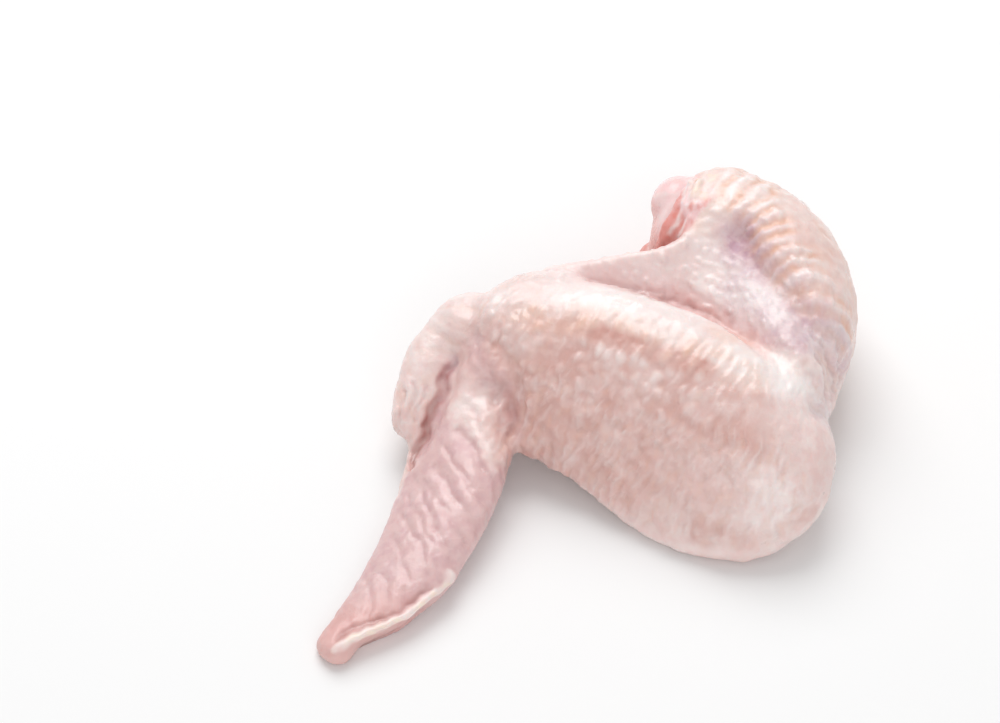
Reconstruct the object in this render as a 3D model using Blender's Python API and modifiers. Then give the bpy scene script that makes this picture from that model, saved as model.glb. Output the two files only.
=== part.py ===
"""Raw chicken wing, whole: drumette, flat, tip, thumb and the skin web between them.

The wing lies on its underside with the elbow to the right and the tip towards the front left.
Blender 4.5, metres, +Z up. The origin is on the ground, at the middle of the footprint.
"""

import math

import bmesh
import bpy
import numpy as np
from mathutils import Matrix, Vector

MM = 0.001

# The middle joint sets the size of the whole wing: everything is laid out on one that is 80 units long.
FLAT_LENGTH = 76 * MM
UNIT = FLAT_LENGTH / 80

# Room between the flesh and the skin round it.
GAP = 0.3 * MM

# How finely the forms are drawn.
RING_STEP = 1.7
SKIN_SIDES = 40
FLESH_SIDES = 24
FUSE_VOXEL = 0.9 * UNIT
FUSE_SMOOTHING = 8
SKIN_TRIANGLES = 8200

# A station is one section of a limb: centre x, y, z, half width, half height (all in units), roll in
# degrees (positive lowers the side on the right of the heading) and egg (how much thinner that side is).
FLAT = [
    (-25, 12.0, 18.0, 13, 10.0, 8, 0.10),
    (-17.5, 9.0, 18.5, 17.5, 11.5, 14, 0.25),
    (-8.8, 3.2, 17.5, 20.5, 12.2, 19, 0.40),
    (9.5, -6.0, 15.5, 23, 13.0, 24, 0.45),
    (26.0, -16.5, 12.5, 24.5, 13.5, 25, 0.38),
    (37, -21.5, 12.0, 22.0, 13.5, 22, 0.20),
    (50.5, -25.5, 12.5, 19, 12.5, 14, 0.0),
]
DRUMETTE = [
    (41, -14, 16, 9.0, 11.0, 0, 0.0),
    (43.0, -3, 18, 10.5, 12.5, 0, 0.0),
    (44.0, 8, 18, 13.5, 15.5, 0, 0.0),
    (43.0, 19, 18, 16.5, 18.0, 0, 0.0),
    (39.0, 31, 18.5, 17.0, 19.5, 0, 0.0),
    (30.5, 39, 18.8, 16.0, 19.6, 0, 0.0),
    (21, 44, 18.4, 15.4, 18.2, 0, 0.0),
    (12, 49, 18.4, 15.4, 17.8, 0, 0.0),
]
HAND = [
    (-25, 12, 16, 9.5, 8.5, 0, 0.0),
    (-27, 0, 13.0, 11.5, 7.0, 8, 0.2),
    (-28.5, -13, 10.0, 12.0, 5.6, 12, 0.35),
    (-32, -28, 7.5, 11.4, 4.8, 10, 0.45),
    (-39, -44, 5.0, 9.8, 4.0, 6, 0.4),
    (-48, -57, 3.0, 6.8, 3.6, 0, 0.2),
    (-56.5, -65, 2.2, 3.8, 3.0, 0, 0.0),
]
THUMB = [
    (-27, 16, 18, 5.5, 5.5, 0, 0.0),
    (-33.5, 9, 16.5, 6.0, 5.5, 0, 0.0),
    (-37.5, 0, 13.0, 5.6, 4.8, 0, 0.0),
    (-41, -10, 8.5, 3.6, 3.4, 0, 0.0),
]
WRIST_KNUCKLE = (-25.5, 13, 18.5)
WRIST_RADII = (10, 9.0, 8.0)

# Flesh sinks under its own weight: the flat's lower half is this much shallower than its upper half, and
# what would be lower than the ground is pressed up to it.
BELLY = 0.82
GROUND = 1.2

# The web's two long edges, wrist to elbow: one buried in the flat, one free and then buried in the drumette.
WEB_FLAT_EDGE = [(-16, 15, 22), (0, 14, 24), (17, 8, 24), (30, 0, 24), (42, -8, 24), (46, -12, 22)]
WEB_FREE_EDGE = [
    (-23, 19, 21),
    (-8, 24, 27),
    (6, 24.5, 29.5),
    (17, 26, 31),
    (24, 31, 33),
    (34, 29, 34),
    (44, 8, 29),
    (47, -8, 24),
]
WEB_THICKNESS = 3.2
WEB_SAG = 3.0
WEB_CELLS = (44, 16)

# The shoulder cut: a point on it, the way it faces, and the flesh inside the drumette that stands out of it.
CUT_PLACE = (22.5, 42, 20)
CUT_FACING = (-0.82, 0.57, 0.05)
FLESH = [
    (43.5, -2, 18, 6.5, 7.5, 0, 0.0),
    (43.5, 8, 18, 9.5, 11.0, 0, 0.0),
    (42.0, 19, 18, 12.5, 13.5, 0, 0.0),
    (37.5, 30, 18.5, 13.5, 15.0, 0, 0.0),
    (29.5, 38, 18.8, 13.2, 15.6, 0, 0.0),
    (22, 43, 18.6, 13.8, 16.2, 0, 0.0),
    (16.5, 46.5, 18.9, 11.4, 13.0, 0, 0.1),
]
# The muscle ends that bulge from the cut: centre and radii.
FLESH_LOBES = [
    ((20.7, 44.5, 26.6), (6.6, 7.0, 6.8)),
    ((21.0, 48.5, 17), (6.0, 6.0, 7.0)),
    ((17.0, 40.5, 14), (5.5, 5.5, 6.0)),
]
FLESH_VOXEL = 0.8 * UNIT
FLESH_SMOOTHING = 4
FLESH_TRIANGLES = 1700

# Folds of the skin: a line on the surface, its half width, and its height (creases are below zero).
SKIN_FOLDS = {
    "crease beside the thumb": (
        [(-30, 3, 20), (-31, -2, 18.5), (-33, -6, 16), (-35.5, -10.5, 13), (-38, -15, 10)], 2.0, -2.4
    ),
    "fold between hand and flat": (
        [(-24.5, 5, 25), (-20, 0, 26), (-17, -6, 23), (-17, -10, 19), (-17.5, -14, 15)], 2.4, -2.0
    ),
    "pit in the wrist": ([(-23, -4.5, 21), (-20.5, -8.5, 19)], 1.8, -1.4),
    "crease along the web": (
        [(0, 19.5, 27), (17, 15.5, 26), (29.5, 7, 26), (34.5, 0, 28), (42, -7.5, 29), (46, -10.5, 27)], 2.6, -1.8
    ),
    "valley beside the drumette": (
        [(32, 25, 36), (34.5, 19, 35), (37.5, 14, 34), (43.5, 5.5, 33), (48.5, -0.5, 30), (52, -4, 25)], 4.2, -2.4
    ),
    "tuck at the elbow": ([(53, -3, 20), (51, -8.5, 22), (48.5, -14, 22)], 3.0, -1.8),
    "rim of the tip": (
        [(-29, -46, 7), (-32.5, -51, 5.5), (-39, -57.5, 5), (-47, -62.5, 5), (-53, -65.5, 5)], 1.7, 1.0
    ),
    "first furrow of the hand": ([(-28, -14.5, 16), (-24, -24, 14.5), (-22.5, -31, 12)], 1.6, -0.8),
    "second furrow of the hand": ([(-33, -23, 13), (-28, -36, 12), (-29, -45, 8)], 1.6, -0.8),
    "lip under the elbow": ([(31, -39, 3), (38, -38, 3), (45, -35, 3), (50, -30, 4)], 1.8, 1.0),
    "rolled edge of the web": (
        [(4, 24, 30), (12, 24.5, 31), (19, 26.5, 32), (24, 31, 34), (25, 35, 37)], 2.0, 0.8
    ),
}
FLESH_FOLDS = {
    "seam between the upper bundles": ([(20, 52, 24), (14.5, 48, 20), (13, 45, 18.5)], 1.6, -1.4),
    "seam between the lower bundles": ([(13, 45, 19), (13.5, 44, 15), (17, 45, 8)], 1.6, -1.4),
    "seam under the upper bundle": ([(17, 36, 20), (13, 41, 19.5), (13, 45, 19)], 1.6, -1.2),
}


def clear_scene():
    for thing in list(bpy.data.objects):
        bpy.data.objects.remove(thing)


def new_collection(name):
    made = bpy.data.collections.new(name)
    bpy.context.scene.collection.children.link(made)
    return made


def remove_collection(collection):
    for thing in list(collection.objects):
        bpy.data.objects.remove(thing)
    bpy.data.collections.remove(collection)


def object_from(bm, name, collection):
    """A named object in the collection that holds the finished bmesh."""
    bmesh.ops.recalc_face_normals(bm, faces=bm.faces)
    mesh = bpy.data.meshes.new(name)
    bm.to_mesh(mesh)
    bm.free()
    made = bpy.data.objects.new(name, mesh)
    collection.objects.link(made)
    return made


def along(rows, t):
    """The row at t from 0 to 1 of a smooth curve through all the rows, number by number."""
    last = len(rows) - 1
    place = min(max(t, 0.0), 1.0) * last
    i = min(int(place), last - 1)
    f = place - i
    four = [rows[min(max(i + k, 0), last)] for k in (-1, 0, 1, 2)]
    row = []
    for p0, p1, p2, p3 in zip(*four):
        bend = 2 * p0 - 5 * p1 + 4 * p2 - p3 + f * (3 * (p1 - p2) + p3 - p0)
        row.append(p1 + 0.5 * f * (p2 - p0 + f * bend))
    return row


def section_axes(stations, t, roll):
    """The directions across and up a limb's section at t, turned by roll degrees about its heading."""
    step = 0.01
    ahead = Vector(along(stations, t + step)[:3])
    behind = Vector(along(stations, t - step)[:3])
    heading = (ahead - behind).normalized()
    side = heading.cross(Vector((0, 0, 1))).normalized()
    turn = Matrix.Rotation(math.radians(roll), 3, heading)
    side = turn @ side
    return side, side.cross(heading)


def loft(name, stations, collection, sides=SKIN_SIDES, belly=1.0, grow=0.0):
    """A limb: egg-shaped rings along its stations, drawn in to a rounded end at both ends."""
    length = sum((Vector(b[:3]) - Vector(a[:3])).length for a, b in zip(stations, stations[1:]))
    count = round(length / RING_STEP)
    start_cap = stations[0][3] / length
    end_cap = stations[-1][3] / length
    bm = bmesh.new()
    rings = []
    for i in range(count + 1):
        t = 0.5 - 0.5 * math.cos(math.pi * i / count)
        x, y, z, width, height, roll, egg = along(stations, t)
        side, up = section_axes(stations, t, roll)
        from_end = min(t / start_cap, (1 - t) / end_cap, 1.0)
        draw_in = math.sqrt(max(0.0, 1 - (1 - from_end) ** 2))
        ring = []
        for k in range(sides):
            angle = 2 * math.pi * k / sides
            across = math.cos(angle) * (width * draw_in + grow)
            rise = math.sin(angle) * (height * draw_in * (1 - egg * math.cos(angle)) + grow)
            if rise < 0:
                rise *= belly
            ring.append(bm.verts.new((Vector((x, y, z)) + side * across + up * rise) * UNIT))
        rings.append(ring)
    for ring, following in zip(rings, rings[1:]):
        for k in range(sides):
            n = (k + 1) % sides
            bm.faces.new((ring[k], ring[n], following[n], following[k]))
    bmesh.ops.remove_doubles(bm, verts=bm.verts, dist=0.01 * MM)
    bmesh.ops.holes_fill(bm, edges=[e for e in bm.edges if e.is_boundary])
    return object_from(bm, name, collection)


def lump(name, centre, radii, collection):
    bm = bmesh.new()
    bmesh.ops.create_uvsphere(bm, u_segments=32, v_segments=20, radius=1.0)
    stretch = Matrix.Diagonal([r * UNIT for r in radii]).to_4x4()
    bmesh.ops.transform(bm, matrix=Matrix.Translation(Vector(centre) * UNIT) @ stretch, verts=bm.verts)
    return object_from(bm, name, collection)


def web(name, collection):
    """The skin between the limbs: a sheet from the flat to the free edge that sags in the middle."""
    lengthwise, across = WEB_CELLS
    bm = bmesh.new()
    rows = []
    for i in range(lengthwise + 1):
        t = i / lengthwise
        low = Vector(along(WEB_FLAT_EDGE, t))
        high = Vector(along(WEB_FREE_EDGE, t))
        row = []
        for j in range(across + 1):
            v = j / across
            point = low.lerp(high, v)
            point.z -= WEB_SAG * math.sin(math.pi * v) * math.sin(math.pi * t)
            row.append(bm.verts.new(point * UNIT))
        rows.append(row)
    for row, following in zip(rows, rows[1:]):
        for j in range(across):
            bm.faces.new((row[j], following[j], following[j + 1], row[j + 1]))
    sheet = object_from(bm, name, collection)
    solidify = sheet.modifiers.new("thickness", "SOLIDIFY")
    solidify.thickness = WEB_THICKNESS * UNIT
    solidify.offset = 0.0
    return finished(sheet, name, collection)


def cutter_box(name, collection):
    """Everything on the open side of the shoulder cut."""
    facing = Vector(CUT_FACING).normalized()
    reach = 60 * UNIT
    bm = bmesh.new()
    bmesh.ops.create_cube(bm, size=reach)
    turn = facing.to_track_quat("Z", "Y").to_matrix().to_4x4()
    centre = Vector(CUT_PLACE) * UNIT + facing * reach / 2
    bmesh.ops.transform(bm, matrix=Matrix.Translation(centre) @ turn, verts=bm.verts)
    return object_from(bm, name, collection)


def finished(thing, name, collection):
    """Replaces thing with a new object that holds its mesh with all the modifiers applied."""
    graph = bpy.context.evaluated_depsgraph_get()
    mesh = bpy.data.meshes.new_from_object(thing.evaluated_get(graph))
    bpy.data.objects.remove(thing)
    mesh.name = name
    made = bpy.data.objects.new(name, mesh)
    collection.objects.link(made)
    return made


def add_boolean(thing, operation, other):
    cut = thing.modifiers.new(operation.lower(), "BOOLEAN")
    cut.operation = operation
    cut.solver = "MANIFOLD"
    if isinstance(other, bpy.types.Collection):
        cut.operand_type = "COLLECTION"
        cut.collection = other
    else:
        cut.object = other


def add_even_skin(thing, voxel, smoothing):
    """Draws a closed surface of even cells over the joined shapes, and rounds where they meet."""
    remesh = thing.modifiers.new("fuse", "REMESH")
    remesh.mode = "VOXEL"
    remesh.voxel_size = voxel
    soften = thing.modifiers.new("soften", "SMOOTH")
    soften.factor = 0.5
    soften.iterations = smoothing


def add_decimate(thing, triangles):
    thing.data.calc_loop_triangles()
    thin_out = thing.modifiers.new("decimate", "DECIMATE")
    thin_out.ratio = triangles / len(thing.data.loop_triangles)
    thin_out.use_collapse_triangulate = True


def distances_to_line(points, line):
    """How far each point is from the nearest place on a line of straight pieces."""
    nearest = np.full(len(points), np.inf)
    for start, end in zip(line, line[1:]):
        start, end = np.array(start, float), np.array(end, float)
        piece = end - start
        share = np.clip((points - start) @ piece / (piece @ piece), 0, 1)
        nearest = np.minimum(nearest, np.linalg.norm(points - start - share[:, None] * piece, axis=1))
    return nearest


def press_folds(thing, folds):
    """Raises or sinks the surface along each named fold, by a soft ridge or trough of its half width."""
    count = len(thing.data.vertices)
    places = np.empty(count * 3)
    normals = np.empty(count * 3)
    thing.data.vertices.foreach_get("co", places)
    thing.data.vertices.foreach_get("normal", normals)
    places, normals = places.reshape(-1, 3), normals.reshape(-1, 3)
    moved = places.copy()
    for line, width, height in folds.values():
        smooth_line = [along(line, i / 24) for i in range(25)]
        away = distances_to_line(places / UNIT, smooth_line)
        moved += normals * (height * UNIT * np.exp(-((away / width) ** 2)))[:, None]
    thing.data.vertices.foreach_set("co", moved.ravel())
    thing.data.update()


def rest_on_ground(thing):
    """Makes the underside flat where it meets the ground."""
    for vert in thing.data.vertices:
        vert.co.z = max(vert.co.z, GROUND * UNIT)


def paint(thing, colour, roughness):
    material = bpy.data.materials.new(thing.name)
    material.use_nodes = True
    shader = material.node_tree.nodes["Principled BSDF"]
    shader.inputs["Base Color"].default_value = (*colour, 1.0)
    shader.inputs["Roughness"].default_value = roughness
    shader.inputs["Metallic"].default_value = 0.0
    thing.data.materials.clear()
    thing.data.materials.append(material)
    thing.data.shade_smooth()


def make_wing(parts, cutters):
    """The limbs and the web joined by one union, then drawn over with an even skin and folded."""
    limbs = new_collection("limbs")
    body = loft("flat", FLAT, parts, belly=BELLY)
    whole_drumette = loft("whole_drumette", DRUMETTE, cutters)
    add_boolean(whole_drumette, "DIFFERENCE", cutter_box("shoulder_cut", cutters))
    finished(whole_drumette, "drumette", limbs)
    loft("hand", HAND, limbs)
    loft("thumb", THUMB, limbs)
    lump("knuckle", WRIST_KNUCKLE, WRIST_RADII, limbs)
    web("web", limbs)
    add_boolean(body, "UNION", limbs)
    add_even_skin(body, FUSE_VOXEL, FUSE_SMOOTHING)
    body = finished(body, "body", parts)
    remove_collection(limbs)
    press_folds(body, SKIN_FOLDS)
    rest_on_ground(body)
    add_decimate(body, SKIN_TRIANGLES)
    body = finished(body, "body", parts)
    add_boolean(body, "DIFFERENCE", loft("pocket", FLESH, cutters, sides=FLESH_SIDES, grow=GAP / UNIT))
    return finished(body, "wing", parts)


def make_flesh(parts):
    """The flesh of the drumette, from near the elbow to the shoulder, where its muscle ends show."""
    lobes = new_collection("lobes")
    flesh = loft("flesh", FLESH, parts, sides=FLESH_SIDES)
    for i, (centre, radii) in enumerate(FLESH_LOBES):
        lump(f"lobe_{i}", centre, radii, lobes)
    add_boolean(flesh, "UNION", lobes)
    add_even_skin(flesh, FLESH_VOXEL, FLESH_SMOOTHING)
    flesh = finished(flesh, "flesh", parts)
    remove_collection(lobes)
    press_folds(flesh, FLESH_FOLDS)
    add_decimate(flesh, FLESH_TRIANGLES)
    return finished(flesh, "shoulder_flesh", parts)


def stand_on_origin(things):
    """Moves everything so that the middle of the footprint is on the origin."""
    corners = [Vector(corner) for thing in things for corner in thing.bound_box]
    low = Vector([min(c[axis] for c in corners) for axis in range(3)])
    high = Vector([max(c[axis] for c in corners) for axis in range(3)])
    shift = Vector((-(low.x + high.x) / 2, -(low.y + high.y) / 2, -low.z))
    for thing in things:
        thing.data.transform(Matrix.Translation(shift))


def build():
    clear_scene()
    parts = new_collection("chicken_wing")
    cutters = new_collection("cutters")
    wing = make_wing(parts, cutters)
    flesh = make_flesh(parts)
    remove_collection(cutters)
    stand_on_origin([wing, flesh])
    paint(wing, (0.86, 0.70, 0.66), 0.45)
    paint(flesh, (0.85, 0.50, 0.45), 0.35)


build()
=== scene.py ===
"""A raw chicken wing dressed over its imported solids: skin, shoulder muscle, fat at the cut, stage."""

import math
from types import SimpleNamespace

import bmesh
import bpy
import numpy as np
from bpy.props import FloatProperty, FloatVectorProperty, IntProperty, PointerProperty
from bpy.types import Operator, Panel, PropertyGroup
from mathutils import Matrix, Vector


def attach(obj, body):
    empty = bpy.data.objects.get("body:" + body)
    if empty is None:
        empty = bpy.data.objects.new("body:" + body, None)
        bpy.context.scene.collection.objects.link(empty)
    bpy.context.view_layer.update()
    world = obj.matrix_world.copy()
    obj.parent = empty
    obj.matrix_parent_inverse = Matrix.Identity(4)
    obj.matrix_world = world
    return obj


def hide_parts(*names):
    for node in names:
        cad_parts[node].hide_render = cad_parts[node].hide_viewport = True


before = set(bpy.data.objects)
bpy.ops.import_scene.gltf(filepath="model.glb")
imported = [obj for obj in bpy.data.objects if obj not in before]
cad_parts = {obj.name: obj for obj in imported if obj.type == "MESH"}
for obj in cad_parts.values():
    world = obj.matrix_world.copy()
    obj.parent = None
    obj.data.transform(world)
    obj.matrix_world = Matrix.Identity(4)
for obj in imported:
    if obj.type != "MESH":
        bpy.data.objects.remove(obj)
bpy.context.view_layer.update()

bl_info = {
    "name": "Raw Chicken Wing",
    "version": (1, 0, 0),
    "blender": (4, 5, 0),
    "location": "3D View > Sidebar > Wing",
    "description": "Dresses the solids of a raw chicken wing with skin, muscle and fat",
    "category": "Object",
}

# The wing was drawn in units of an eightieth of its middle joint, and then moved onto its footprint.
UNIT = 0.00095
DRAWING_START = np.array((-0.000656, 0.005279, -0.001139))


def linear(red, green, blue):
    """A display colour of 0 to 255 as the linear values that a shader takes."""
    values = []
    for channel in (red, green, blue):
        share = channel / 255
        values.append(share / 12.92 if share <= 0.04045 else ((share + 0.055) / 1.055) ** 2.4)
    return tuple(values)


# Bone lines of the joints, in drawing units, and the line that the web hangs from.
FLAT_BONE = ((-25, 12, 18), (-8.8, 3.2, 17.5), (9.5, -6, 15.5), (26, -16.5, 12.5), (37, -21.5, 12),
             (50.5, -25.5, 12.5))
DRUMETTE_BONE = ((41, -14, 16), (44, 8, 18), (43, 19, 18), (39, 31, 18.5), (30.5, 39, 18.8),
                 (21, 44, 18.4), (12, 49, 18.4))
HAND_BONE = ((-25, 12, 16), (-27, 0, 13), (-28.5, -13, 10), (-32, -28, 7.5), (-39, -44, 5),
             (-48, -57, 3), (-56.5, -65, 2.2))
THUMB_BONE = ((-27, 16, 18), (-33.5, 9, 16.5), (-37.5, 0, 13), (-41, -10, 8.5))
WEB_ROOT = ((-16, 15, 22), (0, 14, 24), (17, 8, 24), (30, 0, 24), (42, -8, 24), (46, -12, 22))

# The joints: bone line, half width and half height, then the spacing of their rows of bumps lengthwise and
# across, and that of the web's rows.
JOINTS = ((FLAT_BONE, 22, 13), (DRUMETTE_BONE, 15.5, 18), (HAND_BONE, 11.5, 5.5), (THUMB_BONE, 5.5, 5))
FLAT, DRUMETTE, HAND, THUMB = range(4)
ROW_SPACINGS = ((2.7, 3.8), (3.6, 2.3), (3.0, 3.0), (2.6, 2.6))
WEB_SPACING = (2.2, 1.9)

# Spacing and length of the cross ridges, and of the fine folds of the middle joint, the hand and the elbow.
RIDGES = (3.6, 9)
FLAT_STREAKS = (1.3, 5)
HAND_STREAKS = (2.2, 9)
ELBOW_STREAKS = (1.3, 10)

# Lines on the skin that carry its colours and its relief.
BUMP_BAND = ((-14.6, 1.3, 28.7), (-7.2, -2, 29), (1.2, -5.2, 29.3), (11.7, -9.3, 29.5),
             (22, -13.9, 29.2), (32.2, -18.5, 27.9), (40.5, -22.5, 24.6))
PEACH_BAND = ((-14.6, 5.8, 30.5), (-8.9, 3, 31), (-3.1, 3.1, 32.1), (4.1, 0.6, 32.4), (11.4, -2.9, 32.3),
              (18, -6.1, 32), (26.3, -9, 31.3), (34, -12.5, 29.4))
DUSKY_BAND = ((1.3, -1.1, 31.4), (8.6, -4.3, 31.4), (16.3, -7.9, 31.1), (23.1, -10.5, 30.8))
# Along this line the bump tops get a stronger painted highlight.
HIGHLIT_BUMPS = ((-1, -3, 30), (6.9, -7.8, 29.2), (14.5, -11.6, 28.9), (22.2, -14.5, 28.9), (30.2, -17.4, 28.3))
PALE_BAND = ((-15.7, 12.4, 31.3), (-7, 13.4, 31.9), (3.6, 7.6, 33), (16.2, 1.6, 32.9),
             (28.7, -4.3, 31.4), (39.3, -8.3, 27.9))
LOW_BAND = ((-11.5, -14.8, 16.2), (-0.9, -19.8, 15.3), (9.5, -25.2, 15.1), (21.8, -31.4, 15.8),
            (33.9, -35.1, 16.8))
WEB_MIDDLE = ((-8, 20, 27), (10.8, 21, 28.5), (21.8, 22.7, 29.9), (28.2, 18.3, 28.7), (36.1, 7.7, 29.9))
WEB_PALE = ((32.2, 14.2, 29.5), (37.9, 4.4, 30.2), (44, 0.1, 29.9))
VALLEY = ((32.4, 27.8, 34.1), (34, 24.5, 33), (35.9, 19.8, 32.3), (42, 11.8, 32.2), (47, 5.6, 30.7),
          (52.4, 2.1, 26.6), (55.1, 1.7, 21.2))
WEB_CREASE = ((0, 19.5, 27), (17, 15.5, 26), (29.5, 7, 26), (34.5, 0, 28), (42, -7.5, 29), (46, -10.5, 27))
WEB_SPOTS = ((13, 18.6, 25.3), (16.3, 17.1, 24.6), (21.6, 14.4, 24.4), (25, 11.6, 24.6))
BUMP_ROWS = ((34.4, 41, 38), (35.6, 33.7, 38.2), (38, 26.8, 37.1), (40.6, 21, 35.9), (44.5, 14.6, 34.4),
             (48.5, 10.5, 32.6), (51.6, 7, 30), (54, 5, 26))
DRUMETTE_CREST = ((28.8, 38.7, 38.1), (37.6, 37.3, 38), (45.6, 25.9, 36.5), (51.7, 17.2, 32.7),
                  (54.8, 9.7, 27.9), (56.7, 5.5, 19.8))
ELBOW_SKIN = ((50.6, -1.4, 24.4), (51.8, -3, 19.2), (51.1, -8.5, 18.8))
ELBOW_LIP = ((21.9, -37.5, 8.5), (34.2, -39.8, 9.6), (44.7, -35.4, 12.5), (46.8, -28.4, 18.6))
THUMB_CREASE = ((-30, 3.6, 18.4), (-31.1, 1.5, 17.7), (-32.3, -1.8, 16.4), (-33.8, -4.9, 14.3),
                (-35.3, -8, 12), (-36.6, -10.8, 10.2), (-37.9, -13.3, 8.8), (-38.9, -15.6, 8.2),
                (-39.3, -18.5, 8.8))
WRIST_FOLD = ((-24.7, 3.7, 23.2), (-22.1, -3.4, 21.2), (-19.1, -6.2, 20.5), (-17.8, -7.5, 18.7),
              (-17.4, -9.9, 16), (-17.6, -12.8, 13.4))
TIP_RIM = ((-29.9, -47.2, 8.1), (-32.3, -51.1, 7.1), (-36, -54.3, 6.9), (-40, -57.8, 6.4),
           (-45.2, -60.6, 6.4), (-50, -63, 6.1), (-53.3, -65.2, 5.7))
TIP_RIM_CREASE = ((-34.4, -51.2, 7.9), (-37.4, -53.4, 7.7), (-41.2, -56.7, 6.9),
                  (-46.1, -58.7, 6.6), (-50.9, -60.8, 6), (-53, -62.9, 5.7))
CUT_RIM = ((28.5, 40.9, 37.6), (25.9, 40.9, 37.6), (24.3, 36.5, 37.1), (25, 32.6, 36.2))
FAT_RIM = ((26, 42.5, 37.4), (25, 40.3, 37.6), (24.4, 38.3, 37.2), (23.6, 36.6, 36.8))
MUSCLE_SEAMS = (
    ((20, 52, 24), (14.5, 48, 20), (13, 45, 18.5)),
    ((13, 45, 19), (13.5, 44, 15), (17, 45, 8)),
    ((17, 36, 20), (13, 41, 19.5), (13, 45, 19)),
    ((24, 51, 16), (19, 52.5, 13), (15, 49, 9)),
)

# Folds that run slantwise down the hand, from its leading side to its lower edge: line, half width and
# height in drawing units, where a groove has a height below 0.
HAND_FOLDS = (
    (((-27, -9, 18), (-23.8, -14.8, 16.7), (-20.5, -21.5, 14), (-18.8, -25.2, 11)), 0.8, -0.3),
    (((-29, -13.3, 15.5), (-25.1, -20, 15), (-22.3, -25.2, 13.8), (-19.8, -29.5, 10)), 0.8, -0.42),
    (((-31.7, -17.8, 13.8), (-28.2, -24.5, 14.2), (-24.8, -30.5, 12.2), (-22.3, -33.6, 8.7)), 0.85, -0.45),
    (((-34.2, -22, 12.2), (-30.2, -29.5, 13.1), (-27, -34.6, 11.6), (-24.6, -37.6, 9.2)), 0.75, -0.3),
    (((-36.3, -24.7, 10.7), (-32.4, -32.2, 12.1), (-29.3, -37.4, 11.3), (-27, -41, 9)), 0.85, -0.42),
    (((-38, -22.5, 9.7), (-35.2, -32.5, 11.2), (-32, -41.2, 10.8), (-29.3, -46, 8)), 0.85, -0.42),
    (((-39.6, -27, 8.8), (-36.4, -36.4, 10.7), (-33.7, -44, 10.2), (-32.2, -50, 7.6)), 0.7, -0.28),
    (((-41.3, -29.9, 7.6), (-37.4, -39.5, 10), (-35.3, -46.4, 9.7), (-35, -52.1, 7.5)), 0.8, -0.38),
    (((-42.6, -36.5, 7.3), (-40.1, -44.2, 9.1), (-39.1, -50.4, 8.6), (-40, -55.4, 7.1)), 0.75, -0.3),
    (((-46.8, -43.7, 5.8), (-43.7, -48.8, 7.8), (-43.1, -53.4, 7.7), (-44.5, -57.6, 6.8)), 0.7, -0.26),
    (((-48, -47.1, 5.8), (-46.4, -52.9, 7.1), (-47.5, -58.2, 6.5)), 0.65, -0.24),
)

# Folds of the skin: line, half width and height in drawing units, where a groove has a height below 0.
FOLDS = (
    (THUMB_CREASE, 1.0, -1.2),
    (WRIST_FOLD, 1.0, -0.6),
    *HAND_FOLDS,
    (((-38.6, -2.1, 17), (-38.8, -5.6, 15.1), (-40.3, -9.2, 12.6)), 0.7, -0.5),
    (((-36, -2.3, 16.9), (-37.3, -5.7, 14.9), (-38.3, -8.7, 12.7)), 0.6, -0.45),
    (((-41.2, -2.5, 15.6), (-41.6, -6.1, 14), (-41.8, -9.5, 11.4)), 0.6, -0.45),
    (TIP_RIM, 0.8, 0.5),
    (TIP_RIM_CREASE, 0.7, -0.45),
    (((13.6, 11.3, 29.7), (21.8, 14.4, 24.5), (27.7, 9.8, 24.4), (29.9, 7.4, 24.4), (34.5, 2.6, 25.5)),
     0.8, -0.45),
    (((19.7, 18.6, 27.4), (23.8, 15.4, 26.3), (28.6, 10.9, 25.5)), 0.7, -0.35),
    (((-7, 19.5, 27.6), (0, 19.5, 27.2), (7, 18.2, 26.8), (13, 16.8, 26.3)), 3.4, 1.8),
    (((47.5, -4, 27.4), (49.4, -5.8, 22.2), (49.6, -9.7, 20.1)), 0.8, -0.5),
    (ELBOW_SKIN, 0.8, -0.5),
    (((53.3, 0.1, 22.8), (53.8, -0.9, 18.3), (52.5, -5, 17.6)), 0.8, -0.5),
    (VALLEY, 2.4, -0.5),
    (((-22.6, 13.7, 27), (-22.2, 9.2, 26), (-21.7, 5, 24)), 3.0, 1.1),
)

# Knobs and pits of the wrist: middle, radius and height in drawing units.
KNOBS = (
    ((-25.6, -0.3, 21.7), 1.9, 0.7),
    ((-23.2, -3, 21.1), 1.6, 0.6),
    ((-25.8, -4.4, 19.4), 1.8, 0.6),
    ((-23.2, -10.7, 17.7), 2.0, 0.15),
    ((-19.8, -9.7, 17), 1.6, 0.15),
    ((-20, -3.7, 22.5), 1.7, 0.5),
    ((-28.2, -1.4, 19.2), 1.6, 0.5),
    ((-23, -4.6, 19.4), 1.2, -0.7),
    ((-21.3, -7.8, 17.7), 1.4, -1.0),
    ((-20, -6.4, 19.1), 1.2, -0.7),
    ((-24.7, -7.6, 18.5), 1.2, -0.5),
)

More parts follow.
